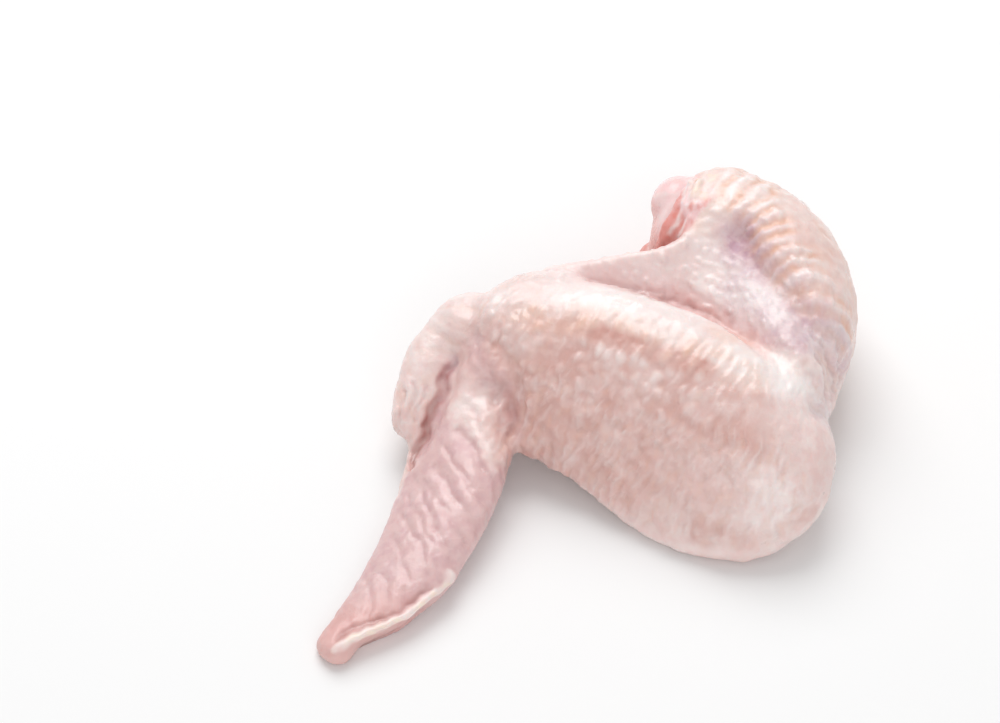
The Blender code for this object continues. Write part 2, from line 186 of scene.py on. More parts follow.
# Where the colours lie besides on whole parts of the wing. Along lines: strength, line, and the distances at
# which the colour starts to fade and is gone. At spots: strength, middle and radius.
TINT_LINES = {
    "pale": ((0.25, WEB_PALE, 2, 8), (0.45, CUT_RIM, 3, 9), (0.5, DRUMETTE_CREST[:2], 3, 9),
             (0.8, TIP_RIM, 0.4, 1.5), (0.3, THUMB_BONE[:2], 4, 9), (0.25, LOW_BAND[3:], 2, 14)),
    "blush": ((0.9, LOW_BAND[:4], 6, 15), (0.35, WRIST_FOLD, 2, 8), (0.6, ELBOW_LIP[:3], 1, 4)),
    # The bluish-violet along the valley, the wrist fold and the top of the thumb crease is painted shade in
    # those hollows; along the pale web it is the skin's own tone.
    "lilac_and_shade": ((0.4, VALLEY, 2, 7), (0.8, WEB_PALE, 1, 8), (0.35, WRIST_FOLD, 1, 5),
              (0.7, THUMB_CREASE[:3], 0.3, 2.2)),
    # The dusky band darkens the pits between its bumps: painted shade.
    "dusky": ((1, DUSKY_BAND, 1, 3.6),),
    "fat_tint": ((1, FAT_RIM, 0.8, 2.8), (0.8, TIP_RIM, 0.3, 1.4)),
    # The crease colour along the thumb crease, the wrist fold, the crease behind the tip's rim and the web
    # crease is painted shade; along the web spots it is the skin's own red spots.
    "crease_shade_and_spots": ((0.95, THUMB_CREASE[1:], 0, 2), (0.35, WRIST_FOLD[2:], 0.2, 2), (0.6, TIP_RIM_CREASE, 0.1, 1.1),
             (0.25, WEB_CREASE[:4], 0.3, 1.8), (0.4, WEB_SPOTS, 0.2, 1.3)),
}
TINT_SPOTS = {
    "blush": ((0.3, PALE_BAND[0], 12),),
    "pink": ((0.5, LOW_BAND[3], 10), (0.6, KNOBS[0][0], 10)),
    # Bluish-violet round the valley: painted shade in that hollow.
    "lilac_and_shade": ((1, VALLEY[1], 10),),
    "crease_shade_and_spots": ((0.5, (29.6, 10.7, 26), 1.8), (0.5, (27.1, 10.2, 24.3), 1.8), (0.5, (22.7, 14.5, 24.9), 1.8),
             (0.5, (31, 8.9, 25.6), 1.8), (0.3, (44, -2.6, 30), 1.8), (0.3, (45.5, -8.4, 26.8), 1.8),
             (0.3, (44.7, -6.6, 28.5), 1.8), (0.3, (-29.4, -31.3, 12.2), 1.8)),
}

# How far the tip's edge outside its rim is drawn in: a share of its reach and of its depth below the rim.
TIP_TUCK = 0.75
UNDER_TUCK = 0.3

# The shoulder cut: its middle, the way it faces, the level direction along it, and its half sizes.
CUT_MIDDLE = np.array((22.3, 42.6, 18.4))
CUT_FACING = np.array((-0.82, 0.57, 0.05))
CUT_ALONG = np.array((0.571, 0.821, 0.0))
CUT_HALF_WIDTH = 15.0
CUT_HALF_HEIGHT = 17.6

# The thick edge of the skin round the cut: share of the cut's size, how far out it stands, and radius.
# Then the loose folds that curl over its near side, each with its radius, and the rows of fat beads: share
# of the cut's size, how far out they stand, and first and last turn in degrees from its far side.
CUT_LIP = (0.94, -1.0, 1.3)
LOOSE_FOLDS = (
    (((24.4, 41.6, 37.8), (23.9, 39.2, 37.7), (23.4, 36.6, 37), (23, 34.4, 36), (22.3, 32.6, 34.5),
      (21, 31.3, 32.4), (19.4, 30.6, 30)), 0.85),
    (((22.4, 42, 36.9), (21.8, 39.4, 36.5), (20.9, 37, 35.7), (20.5, 34.9, 34.3), (19.4, 33.3, 32.3),
      (18, 32.2, 29.8)), 0.6),
    (((23.2, 38.6, 37.2), (22.3, 37.1, 36.9), (22.4, 35.6, 36), (21.3, 34.5, 35), (21.4, 33.2, 33.9)), 0.5),
    (((22.8, 41.3, 37.3), (22, 40.2, 36.9), (22.4, 38.8, 36.9)), 0.45),
)
FAT_ROWS = ((1.09, -2.4, 86, 98), (0.88, 0.3, 22, 58), (0.88, 0.3, 196, 236), (0.88, 0.3, 286, 322))

# Cell sizes of the muscle and the fat, in metres, and how often each surface is smoothed.
MUSCLE_CELL = 0.0006
FAT_CELL = 0.00025
WHOLE_ROUNDS = 26
ROLL_ROUNDS = 4
MUSCLE_ROUNDS = 7
FAT_ROUNDS = 3

# The studio, in metres: size, place and aim of each light, and the camera's place and tilt in degrees.
OVERHEAD_LIGHT = (0.7, (-0.1, 0.5, 0.72), (0, 0, 0))
FRONT_LIGHT = (0.8, (0.1, -0.8, 0.4), (0, 0, 0.02))
EYE = (-0.01964, -0.35059, 0.38817)
EYE_TILT = 44


def length_setting(label, use, default, most, least=0):
    """A length that the panel offers, in metres."""
    return FloatProperty(
        name=label, description=use, default=default, min=least, max=most, precision=5, unit="LENGTH")


def colour_setting(label, use, *shades):
    """A colour that the panel offers, given as display values of 0 to 255."""
    return FloatVectorProperty(
        name=label, description=use, subtype="COLOR", default=linear(*shades), min=0, max=1)


class WingSizes(PropertyGroup):
    """Sizes of the relief that the skin and the muscle carry."""

    skin_cell: length_setting(
        "Skin Cell", "Spacing of the points that the skin is made of", 0.00052, 0.002, 0.0003)
    follicle_height: length_setting(
        "Follicle Height", "How far a follicle bump stands out of the skin", 0.00055, 0.002)
    follicle_scatter: FloatProperty(
        name="Follicle Scatter", description="How far the bumps stray from their rows",
        default=0.75, min=0, max=1, subtype="FACTOR")
    ridge_height: length_setting(
        "Ridge Height", "Height of the rows of bumps across the upper joint", 0.0003, 0.003)
    lump_height: length_setting("Lump Height", "How far the fat under the skin lifts it", 0.0012, 0.003)
    streak_height: length_setting(
        "Streak Height", "Height of the fine folds that run down the skin", 0.0004, 0.002)
    fibre_height: length_setting("Fibre Height", "Height of the fibre bundles of the muscle", 0.0003, 0.002)
    fat_bead: length_setting("Fat Bead", "Radius of a bead of fat at the cut", 0.0009, 0.004, 0.0003)
    seed: IntProperty(
        name="Seed", description="Fixes every scattered detail", default=7, min=0)


class WingColours(PropertyGroup):
    """Colours of the skin, the muscle and the fat."""

    skin: colour_setting("Skin", "The skin between its patches", 235, 210, 205)
    # Besides the skin's own paleness, this colour is laid on bump tops and raised fine folds as painted
    # highlight.
    pale: colour_setting("Pale Skin", "Skin with fat close under it", 250, 243, 241)
    blush: colour_setting("Blush", "Skin with flesh close under it", 211, 162, 152)
    pink: colour_setting("Pink", "Thin stretched skin", 229, 179, 176)
    # Bluish-violet: the skin's own tone over veins, and painted shade in the valley and creases.
    lilac_and_shade: colour_setting("Lilac", "Skin over veins and sinew", 186, 144, 164)
    # Peach-brown: the skin's own tone on bumps, and painted shade in the pits between bumps and ridges.
    tan: colour_setting("Tan", "Hollows between the rows of bumps", 234, 190, 170)
    # Crease colour: painted shade at the bottom of creases and grooves, and the skin's own red spots.
    crease_shade_and_spots: colour_setting("Deep", "The bottom of a crease", 180, 120, 114)
    muscle: colour_setting("Muscle", "Flesh of the shoulder", 250, 213, 214)
    # Red of the flesh in specks, and painted shadow in the hollow round the cut and deeper in it.
    muscle_red_and_shade: colour_setting("Muscle Edge", "Flesh in the hollow round the cut", 226, 130, 115)
    fat: colour_setting("Fat", "Fat at the cut", 249, 232, 208)


class StageSettings(PropertyGroup):
    """Camera and light of the studio."""

    lens: FloatProperty(
        name="Lens", description="Focal length of the camera in millimetres",
        default=90, min=20, max=300)
    overhead: FloatProperty(
        name="Overhead Light", description="Power of the soft light over the wing",
        default=5.5, min=0, unit="POWER")
    front: FloatProperty(
        name="Front Light", description="Power of the weak light from the front",
        default=2.3, min=0, unit="POWER")
    surround: FloatProperty(
        name="Surround", description="Brightness of the white room", default=0.5, min=0)
    floor: FloatVectorProperty(
        name="Floor", description="Colour of the floor", subtype="COLOR",
        default=(0.92, 0.92, 0.92), min=0, max=1)


def in_place(point):
    """A point of the drawing in the frame, in metres."""
    return Vector(np.asarray(point, float) * UNIT + DRAWING_START)


def as_drawn(points):
    """Points of the frame in drawing units."""
    return (points - DRAWING_START) / UNIT


def ease(values, low, high):
    """0 below low, 1 above high, and smooth between."""
    share = np.clip((values - low) / (high - low), 0, 1)
    return share * share * (3 - 2 * share)


def smooth_line(points, steps=8):
    """A finer line through the points of a coarse one."""
    given = np.asarray(points, float)
    padded = np.vstack((2 * given[0] - given[1], given, 2 * given[-1] - given[-2]))
    fine = []
    for before, start, end, after in zip(padded, padded[1:], padded[2:], padded[3:]):
        for step in range(steps):
            t = step / steps
            fine.append(0.5 * (2 * start + (end - before) * t
                               + (2 * before - 5 * start + 4 * end - after) * t ** 2
                               + (3 * start - before - 3 * end + after) * t ** 3))
    fine.append(given[-1])
    return np.array(fine)


def follow_line(points, line):
    """For each point its distance to the line, how far along it lies, the spot there and the heading."""
    gap = np.full(len(points), np.inf)
    along = np.zeros(len(points))
    spot = np.zeros((len(points), 3))
    heading = np.zeros((len(points), 3))
    travelled = 0.0
    line = np.asarray(line, float)
    for start, end in zip(line, line[1:]):
        step = end - start
        length = np.linalg.norm(step)
        share = np.clip((points - start) @ step / length ** 2, 0, 1)
        there = start + share[:, None] * step
        distance = np.linalg.norm(points - there, axis=1)
        closer = distance < gap
        gap[closer] = distance[closer]
        along[closer] = travelled + share[closer] * length
        spot[closer] = there[closer]
        heading[closer] = step / length
        travelled += length
    return gap, along, spot, heading


def near(points, line, inner, outer):
    """1 within the inner distance of a line, 0 beyond the outer one."""
    return 1 - ease(follow_line(points, line)[0], inner, outer)


def near_spot(points, spot, radius):
    """1 at the spot, 0 beyond its radius."""
    return 1 - ease(np.linalg.norm(points - np.asarray(spot, float), axis=1), 0, radius)


def wavered(points, size=0.35):
    """Points shifted a little, so that what follows a line through them wavers as skin does."""
    return points + size * (
        np.sin(points[:, (1, 2, 0)] * 0.83 + 1.3) + 0.6 * np.sin(points[:, (2, 0, 1)] * 2.3 + 0.4))


def limb_place(points, bone, half_width, half_height):
    """Distance along a joint and distance round it from its top, and how many radii away it lies."""
    gap, along, spot, heading = follow_line(points, smooth_line(bone))
    side = np.cross(heading, (0, 0, 1))
    side /= np.linalg.norm(side, axis=1)[:, None]
    top = np.cross(side, heading)
    out = points - spot
    sideways = np.sum(out * side, axis=1) / half_width
    upwards = np.sum(out * top, axis=1) / half_height
    turn = np.linspace(-math.pi, math.pi, 361)
    arc = np.hypot(half_width * np.cos(turn), half_height * np.sin(turn)) * (turn[1] - turn[0])
    length = np.cumsum(arc)
    girth = np.interp(np.arctan2(sideways, upwards), turn, length - length[180])
    return along, girth, np.hypot(sideways, upwards)


def placed(name, data):
    """A new object in the scene."""
    thing = bpy.data.objects.new(name, data)
    bpy.context.scene.collection.objects.link(thing)
    return thing


def merged_copy(node, name):
    """A copy of a CAD node's mesh with its triangles joined."""
    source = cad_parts[node]
    mesh = source.data.copy()
    work = bmesh.new()
    work.from_mesh(mesh)
    work.transform(source.matrix_world)
    bmesh.ops.remove_doubles(work, verts=work.verts, dist=1e-6)
    work.to_mesh(mesh)
    work.free()
    mesh.materials.clear()
    return placed(name, mesh)


def baked(thing, name):
    """The object with its modifiers made real, under a new name."""
    graph = bpy.context.evaluated_depsgraph_get()
    mesh = bpy.data.meshes.new_from_object(thing.evaluated_get(graph))
    mesh.name = name
    bpy.data.objects.remove(thing)
    return placed(name, mesh)


def joined(things, name):
    """One object out of several, whose surfaces may cross."""
    work = bmesh.new()
    for thing in things:
        work.from_mesh(thing.data)
        bpy.data.objects.remove(thing)
    mesh = bpy.data.meshes.new(name)
    work.to_mesh(mesh)
    work.free()
    return placed(name, mesh)


def tube(line, radii, name, closed=False):
    """A solid roll along a line, with a radius at each of its points."""
    curve = bpy.data.curves.new(name, "CURVE")
    curve.dimensions = "3D"
    curve.bevel_depth = UNIT
    curve.bevel_resolution = 4
    curve.use_fill_caps = not closed
    spline = curve.splines.new("POLY")
    spline.use_cyclic_u = closed
    spline.points.add(len(line) - 1)
    for point, spot, radius in zip(spline.points, line, radii):
        point.co = (*in_place(spot), 1)
        point.radius = radius
    return baked(placed(name, curve), name)


def round_cut(size, out, turn):
    """A line round the shoulder cut at a share of its size, standing out from it, at the given turns."""
    level = size * CUT_HALF_WIDTH * np.cos(turn)[:, None] * CUT_ALONG
    upright = size * CUT_HALF_HEIGHT * np.sin(turn)[:, None] * np.array((0, 0, 1))
    return CUT_MIDDLE + out * CUT_FACING + level + upright


def skin_rolls():
    """The thick edge of the skin round the cut, and the loose folds on it."""
    size, out, radius = CUT_LIP
    turn = np.linspace(0, 2 * math.pi, 64, endpoint=False)
    uneven = 1 + 0.16 * np.sin(5 * turn + 1) + 0.1 * np.sin(11 * turn)
    rolls = [tube(round_cut(size, out, turn), radius * uneven, "cut_lip", closed=True)]
    for index, (line, radius) in enumerate(LOOSE_FOLDS):
        line = smooth_line(line)
        share = np.linspace(0, math.pi, len(line))
        thick = radius * (0.45 + 0.55 * np.sin(share)) * (1 + 0.18 * np.sin(9 * share + index))
        rolls.append(tube(line, thick, f"loose_fold_{index}"))
    return rolls


def even_skin(thing, cell, rounds):
    """Adds a net of even cells and smooths its steps."""
    net = thing.modifiers.new("Even cells", "REMESH")
    net.mode = "VOXEL"
    net.voxel_size = cell
    calm = thing.modifiers.new("Calm", "SMOOTH")
    calm.factor = 0.5
    calm.iterations = rounds
    return baked(thing, thing.name + "_even")


def filler(cell):
    """The muscle's solid, a little larger and cut short, which fills the pocket below the cut."""
    thing = merged_copy("shoulder_flesh", "pocket_filler")
    work = bmesh.new()
    work.from_mesh(thing.data)
    work.normal_update()
    for vertex in work.verts:
        vertex.co += vertex.normal * cell
    geometry = work.verts[:] + work.edges[:] + work.faces[:]
    cut = bmesh.ops.bisect_plane(
        work, geom=geometry, plane_co=in_place(CUT_MIDDLE - 4 * CUT_FACING), plane_no=CUT_FACING,
        clear_outer=True)
    rim = [part for part in cut["geom_cut"] if isinstance(part, bmesh.types.BMEdge)]
    bmesh.ops.holes_fill(work, edges=rim)
    work.to_mesh(thing.data)
    work.free()
    return thing


def read_points(mesh):
    """The points and normals of a mesh."""
    points = np.empty(len(mesh.vertices) * 3)
    normals = np.empty(len(mesh.vertices) * 3)
    mesh.vertices.foreach_get("co", points)
    mesh.vertices.foreach_get("normal", normals)
    return points.reshape(-1, 3), normals.reshape(-1, 3)


def set_points(mesh, points):
    """Puts a mesh's points in new places, none of them below the floor."""
    points[:, 2] = np.maximum(points[:, 2], 0)
    mesh.vertices.foreach_set("co", points.ravel())
    mesh.update()


def keep_values(mesh, name, values):
    """Stores one number or one vector for each point."""
    kind = "FLOAT" if values.ndim == 1 else "FLOAT_VECTOR"
    layer = mesh.attributes.new(name, kind, "POINT")
    layer.data.foreach_set("value" if values.ndim == 1 else "vector", values.astype(np.float32).ravel())


def tuck_tip(mesh):
    """Draws in the edge of the tip, so that the rim is its border."""
    points, _ = read_points(mesh)
    drawn = as_drawn(points)
    gap, along, spot, heading = follow_line(drawn, smooth_line(TIP_RIM))
    outward = -np.cross(heading, (0, 0, 1))
    outward /= np.linalg.norm(outward, axis=1)[:, None]
    outside = np.maximum(np.sum((drawn - spot) * outward, axis=1), 0)
    below = np.clip(spot[:, 2] - drawn[:, 2], 0, 6) * ease(outside, -0.5, 0.5)
    share = ease(along, 0, 8) * (1 - ease(along, along.max() - 7, along.max())) * (1 - ease(gap, 9, 14))
    inward = (TIP_TUCK * outside + UNDER_TUCK * below) * share
    set_points(mesh, points - UNIT * inward[:, None] * outward)


def press_folds(mesh):
    """Presses the folds and knobs of the skin into the mesh."""
    points, normals = read_points(mesh)
    drawn = wavered(as_drawn(points))
    height = np.zeros(len(points))
    for line, width, rise in FOLDS:
        gap = follow_line(drawn, smooth_line(line, 4))[0]
        height += rise * np.exp(-(gap / width) ** 2)
    # How deep each groove is; the skin's material darkens grooves with painted shade by this share.
    keep_values(mesh, "groove", np.clip(-height / 0.7, 0, 1))
    for spot, radius, rise in KNOBS:
        gap = np.linalg.norm(drawn - np.asarray(spot), axis=1)
        height += rise * np.exp(-(gap / radius) ** 2)
    set_points(mesh, points + normals * (height * UNIT)[:, None])


def skin_parts(drawn):
    """Where each point lies: its place on each joint, the nearest one, and its share of each part."""
    part = SimpleNamespace()
    part.joints = [limb_place(drawn, *joint) for joint in JOINTS]
    reach = np.array([joint[2] for joint in part.joints])
    reach[THUMB] *= 0.85
    part.nearest = np.argmin(reach, axis=0)
    part.web = np.maximum(near(drawn, WEB_MIDDLE, 5, 9), near(drawn, WEB_PALE, 4, 8))
    part.web *= ease(drawn[:, 2], 18, 22) * (1 - near(drawn, DRUMETTE_CREST, 9, 12))
    part.band = near(drawn, BUMP_BAND, 7, 12.5) * (1 - ease(drawn[:, 0], 30, 44))
    part.pale_band = near(drawn, PALE_BAND, 5, 10) * (1 - part.web)
    part.low_band = near(drawn, LOW_BAND, 8, 15)
    part.bump_rows = near(drawn, BUMP_ROWS, 3.5, 7.5)
    part.elbow = near(drawn, ELBOW_SKIN, 5, 11)
    part.drumette = ease(reach[FLAT] - reach[DRUMETTE], -0.1, 0.15) * (1 - part.web)
    part.hand = ease(np.minimum(reach[FLAT], reach[THUMB]) - reach[HAND], -0.05, 0.25)
    part.thumb = ease(reach[HAND] - reach[THUMB], -0.05, 0.2)
    part.raw = ease((drawn - CUT_MIDDLE) @ CUT_FACING, -7.6, -5.6)
    part.raw *= (1 - ease((drawn - CUT_MIDDLE) @ CUT_ALONG, -2, 6)) * (1 - part.web)
    part.raw *= (reach[DRUMETTE] < 1.35) * (1 - 0.8 * ease(drawn[:, 2], 36.4, 38))
    return part


def lay_rows(mesh, drawn, part, normals):
    """Stores where the rows of bumps and the cross ridges lie and how strong they are."""
    rows = np.zeros((len(drawn), 3))
    for index, (lengthwise, across) in enumerate(ROW_SPACINGS):
        along, girth, _ = part.joints[index]
        chosen = part.nearest == index
        first = along[chosen] / lengthwise
        rows[chosen, 0] = first + 100 * index
        rows[chosen, 1] = girth[chosen] / across + (0.5 * first if index == DRUMETTE else 0)
    on_web = part.web > 0.5
    gap, along = follow_line(drawn[on_web], smooth_line(WEB_ROOT))[:2]
    first = along / WEB_SPACING[0]
    rows[on_web, 0] = first + 400
    rows[on_web, 1] = gap / WEB_SPACING[1] + 0.5 * first
    keep_values(mesh, "row_place", rows)
    amount = np.choose(part.nearest, (
        0.25 + 0.5 * part.band + 0.15 * part.pale_band, 0.4 + 0.5 * part.bump_rows, 0.3, 0.3))
    amount = np.where(on_web, 0.85, amount)
    edge_of_web = 1 - np.abs(2 * ease(part.web, 0.2, 0.8) - 1)
    shown = (1 - part.raw) * (0.2 + 0.8 * ease(normals[:, 2], -0.75, -0.25))
    keep_values(mesh, "bump_amount", np.clip(amount * (1 - 0.8 * edge_of_web) * shown, 0, 1.2))

    along, girth, _ = part.joints[DRUMETTE]
    ridges = part.bump_rows + 0.2 * near(drawn, DRUMETTE_CREST, 9, 15) * part.drumette
    keep_values(mesh, "ridge_place", np.stack((along / RIDGES[0], girth / RIDGES[1], 0 * along), axis=1))
    keep_values(mesh, "ridge_amount", np.clip(ridges * shown * ease(along, 6, 14), 0, 1))


def lay_folds(mesh, drawn, part):
    """Stores where the fine folds and the lumps of the skin lie and how strong they are."""
    along, girth, _ = part.joints[FLAT]
    streaks = np.stack((along / FLAT_STREAKS[0], girth / FLAT_STREAKS[1], 0 * along), axis=1)
    for index in (HAND, THUMB):
        chosen = part.nearest == index
        along, girth, _ = part.joints[index]
        streaks[chosen, 0] = girth[chosen] / HAND_STREAKS[0] + along[chosen] / 3.6 + 50
        streaks[chosen, 1] = along[chosen] / HAND_STREAKS[1]
    at_elbow = part.elbow > 0.3
    gap, along = follow_line(drawn[at_elbow], smooth_line(VALLEY))[:2]
    streaks[at_elbow, 0] = gap / ELBOW_STREAKS[0] + 90
    streaks[at_elbow, 1] = along / ELBOW_STREAKS[1]
    keep_values(mesh, "streak_place", streaks)
    keep_values(mesh, "streak_amount", np.clip(
        0.8 * part.low_band + part.elbow + 0.1 * part.hand + 0.8 * part.thumb
        + 0.6 * part.band + 0.3 * part.pale_band, 0, 1))
    keep_values(mesh, "lump_amount", np.clip(
        0.5 + 0.5 * part.low_band + 0.1 * near(drawn, WRIST_FOLD, 3, 9)
        - 0.3 * part.web - 0.35 * part.hand, 0, 1.3))


def tint(drawn, name):
    """The share of a colour that lies along its own lines and at its own spots."""
    share = np.zeros(len(drawn))
    for strength, line, inner, outer in TINT_LINES.get(name, ()):
        share += strength * near(drawn, line, inner, outer)
    for strength, spot, radius in TINT_SPOTS.get(name, ()):
        share += strength * near_spot(drawn, spot, radius)
    return share


def lay_colours(mesh, drawn, part):
    """Stores how much of each colour every point gets."""
    tip = ease(-drawn[:, 1], 46, 64)
    peach = near(drawn, PEACH_BAND, 1.2, 5.5)
    clean = 1 - part.raw
    on_drumette = part.drumette * (1 - near(drawn, VALLEY, 2, 7)) * ease(part.joints[DRUMETTE][0], 4, 14)
    shares = {
        "pale": clean * np.clip(
            tint(drawn, "pale") + (0.5 + 0.35 * ease(drawn[:, 0], -14, 8)) * part.pale_band
            + 0.5 * near(drawn, WEB_MIDDLE, 3, 9) * part.web + 0.5 * part.elbow, 0, 1),
        "blush": tint(drawn, "blush") + 0.9 * part.band + 0.4 * tip + 0.25 * part.hand,
        "pink": tint(drawn, "pink") + 0.75 * near(drawn, WEB_CREASE[:4], 1.5, 7) * (1 - part.band)
                + 0.45 * near(drawn, WEB_MIDDLE[:3], 2, 8) * part.web + 0.4 * part.hand + 0.9 * tip,
        # The skin's own bluish tone, with painted shade in the valley and creases.
        "lilac_and_shade": tint(drawn, "lilac_and_shade") + 0.4 * part.elbow + 0.4 * part.hand * (1 - tip),
        # Where the pits between bumps and ridges get painted shade in peach-brown.
        "tan": clean * (0.5 * on_drumette + 0.75 * part.bump_rows + 0.3 * peach),
        "peach": peach,
        "dusky": tint(drawn, "dusky"),
        # Painted shade in the creases, plus the skin's own red spots.
        "crease_shade_and_spots": tint(drawn, "crease_shade_and_spots"),
        "fat_tint": tint(drawn, "fat_tint"),
        # Painted highlight on the bump tops.
        "bump_highlight": (0.16 + 0.5 * near(drawn, HIGHLIT_BUMPS, 1.5, 5)) * (1 - peach),
        "raw": part.raw,
        # Redder lower in the cut: painted shade.
        "raw_depth_shade": 0.75 * (1 - ease(drawn[:, 2], 31, 36)),
        "membrane": np.max([near(drawn, line, 0.2, 1.1) for line, _ in LOOSE_FOLDS], axis=0),
    }
    for name, share in shares.items():
        keep_values(mesh, name, np.clip(share, 0, 1))


def lay_out_skin(mesh):
    """Stores where the rows of bumps lie and how much of each colour and relief every point gets."""
    points, normals = read_points(mesh)
    drawn = wavered(as_drawn(points))
    part = skin_parts(drawn)
    lay_rows(mesh, drawn, part, normals)
    lay_folds(mesh, drawn, part)
    lay_colours(mesh, drawn, part)


def new_tree(name, kind, inputs, outputs):
    """An empty node tree with named sockets; each is a name, a socket kind and a default or None."""
    tree = bpy.data.node_groups.new(name, kind)
    for in_out, sockets in (("INPUT", inputs), ("OUTPUT", outputs)):
        for label, socket, default in sockets:
            made = tree.interface.new_socket(label, in_out=in_out, socket_type=socket)
            if default is not None:
                made.default_value = default
    return tree, tree.nodes.new("NodeGroupInput"), tree.nodes.new("NodeGroupOutput")


def add_node(tree, kind, values=(), **settings):
    """A node with its settings; values are pairs of a socket and a number or another socket."""
    node = tree.nodes.new(kind)
    for setting, value in settings.items():
        setattr(node, setting, value)
    for socket, value in values:
        if isinstance(value, bpy.types.NodeSocket):
            tree.links.new(value, node.inputs[socket])
        else:
            node.inputs[socket].default_value = value
    return node


def sums(tree, operation, first, second):
    """The result of one sum on two numbers or sockets."""
    return add_node(tree, "ShaderNodeMath", ((0, first), (1, second)), operation=operation).outputs[0]


def product(tree, *factors):
    """The product of numbers and sockets."""
    result = factors[0]
    for factor in factors[1:]:
        result = sums(tree, "MULTIPLY", result, factor)
    return result


def ramp(tree, value, start, full, least=0.0, most=1.0, kind="LINEAR"):
    """A number that goes from the least to the most while a value goes from start to full."""
    return add_node(tree, "ShaderNodeMapRange", (
        ("Value", value), ("From Min", start), ("From Max", full), ("To Min", least), ("To Max", most)),
        interpolation_type=kind).outputs["Result"]


def stored(tree, name, kind="FLOAT"):
    """A value stored on the points, in a tree that makes geometry."""
    return add_node(tree, "GeometryNodeInputNamedAttribute", (("Name", name),), data_type=kind).outputs[0]


def geometry_tree(name, numbers, seed_kind="NodeSocketFloat"):
    """An empty tree that takes geometry, named numbers, a seed and a material."""
    return new_tree(
        name, "GeometryNodeTree",
        (("Geometry", "NodeSocketGeometry", None),
         *((label, "NodeSocketFloat", default) for label, default in numbers),
         ("Seed", seed_kind, 7), ("Material", "NodeSocketMaterial", None)),
        (("Geometry", "NodeSocketGeometry", None),))


def seeded_noise(tree, given, scale, detail, place=None):
    """Soft noise that the seed fixes, over a stored place of each point or over its own."""
    where = () if place is None else (("Vector", stored(tree, place, "FLOAT_VECTOR")),)
    return add_node(tree, "ShaderNodeTexNoise", (
        *where, ("W", given.outputs["Seed"]), ("Scale", scale), ("Detail", detail)),
        noise_dimensions="4D").outputs[0]


def raised(tree, geometry, height):
    """A surface moved out along its normals by a height."""
    normal = add_node(tree, "GeometryNodeInputNormal").outputs[0]
    offset = add_node(tree, "ShaderNodeVectorMath", ((0, normal), ("Scale", height)), operation="SCALE")
    return add_node(tree, "GeometryNodeSetPosition", (
        ("Geometry", geometry), ("Offset", offset.outputs[0]))).outputs[0]


def keeping(tree, geometry, name, value):
    """A surface that keeps a value of its tree on its points."""
    return add_node(tree, "GeometryNodeStoreNamedAttribute", (
        ("Geometry", geometry), ("Name", name), ("Value", value)),
        data_type="FLOAT", domain="POINT").outputs[0]


def end_tree(tree, given, made, geometry):
    """Ends a tree with real geometry in its material."""
    real = add_node(tree, "GeometryNodeRealizeInstances", (("Geometry", geometry),))
    coated = add_node(tree, "GeometryNodeSetMaterial", (
        ("Geometry", real.outputs[0]), ("Material", given.outputs["Material"])))
    tree.links.new(coated.outputs[0], made.inputs[0])
    return tree


def skin_relief_tree():
    """The tree that raises the follicle bumps, the lumps of fat and the fine folds."""
    tree, given, made = geometry_tree("Skin relief", (
        ("Follicle Height", 0.0005), ("Follicle Scatter", 0.5), ("Ridge Height", 0.0008),
        ("Lump Height", 0.0005), ("Streak Height", 0.0003)))
    cells = add_node(tree, "ShaderNodeTexVoronoi", (
        ("Vector", stored(tree, "row_place", "FLOAT_VECTOR")), ("Scale", 1.0),
        ("Randomness", given.outputs["Follicle Scatter"])), voronoi_dimensions="2D")
    dome = ramp(tree, cells.outputs["Distance"], 0.05, 0.6, 1.0, 0.0, "SMOOTHSTEP")
    chance = add_node(tree, "ShaderNodeSeparateXYZ", ((0, cells.outputs["Color"]),)).outputs[0]
    bump = product(tree, dome, ramp(tree, chance, 0.0, 1.0, 0.15), stored(tree, "bump_amount"))
    waves = add_node(tree, "ShaderNodeTexWave", (
        ("Vector", stored(tree, "ridge_place", "FLOAT_VECTOR")), ("Scale", 0.3142),
        ("Distortion", 2.2), ("Detail", 1.0), ("Detail Scale", 1.3)), wave_type="BANDS",
        bands_direction="X", wave_profile="SIN").outputs["Fac"]
    ridge = product(tree, waves, stored(tree, "ridge_amount"))
    lumps = seeded_noise(tree, given, 230.0, 2.0)
    lump = product(tree, sums(tree, "SUBTRACT", lumps, 0.5), stored(tree, "lump_amount"))
    folds = seeded_noise(tree, given, 1.0, 1.0, "streak_place")
    streak = product(tree, sums(tree, "SUBTRACT", folds, 0.5), stored(tree, "streak_amount"))
    height = product(tree, bump, given.outputs["Follicle Height"])
    for form, label, strength in ((ridge, "Ridge Height", 1.0), (lump, "Lump Height", 2.0),
                                  (streak, "Streak Height", 3.0)):
        height = sums(tree, "ADD", height, product(tree, form, given.outputs[label], strength))
    surface = raised(tree, given.outputs["Geometry"], height)
    surface = keeping(tree, surface, "follicle", sums(tree, "MAXIMUM", bump, ridge))
    surface = keeping(tree, surface, "streak", streak)
    return end_tree(tree, given, made, surface)


def muscle_relief_tree():
    """The tree that raises fibre bundles along the muscle."""
    tree, given, made = geometry_tree("Muscle relief", (("Fibre Height", 0.0003),))
    fibres = seeded_noise(tree, given, 1.0, 2.0, "fibre_place")
    height = product(tree, sums(tree, "SUBTRACT", fibres, 0.5), given.outputs["Fibre Height"], 2.0)
    surface = raised(tree, given.outputs["Geometry"], height)
    return end_tree(tree, given, made, keeping(tree, surface, "fibre", fibres))


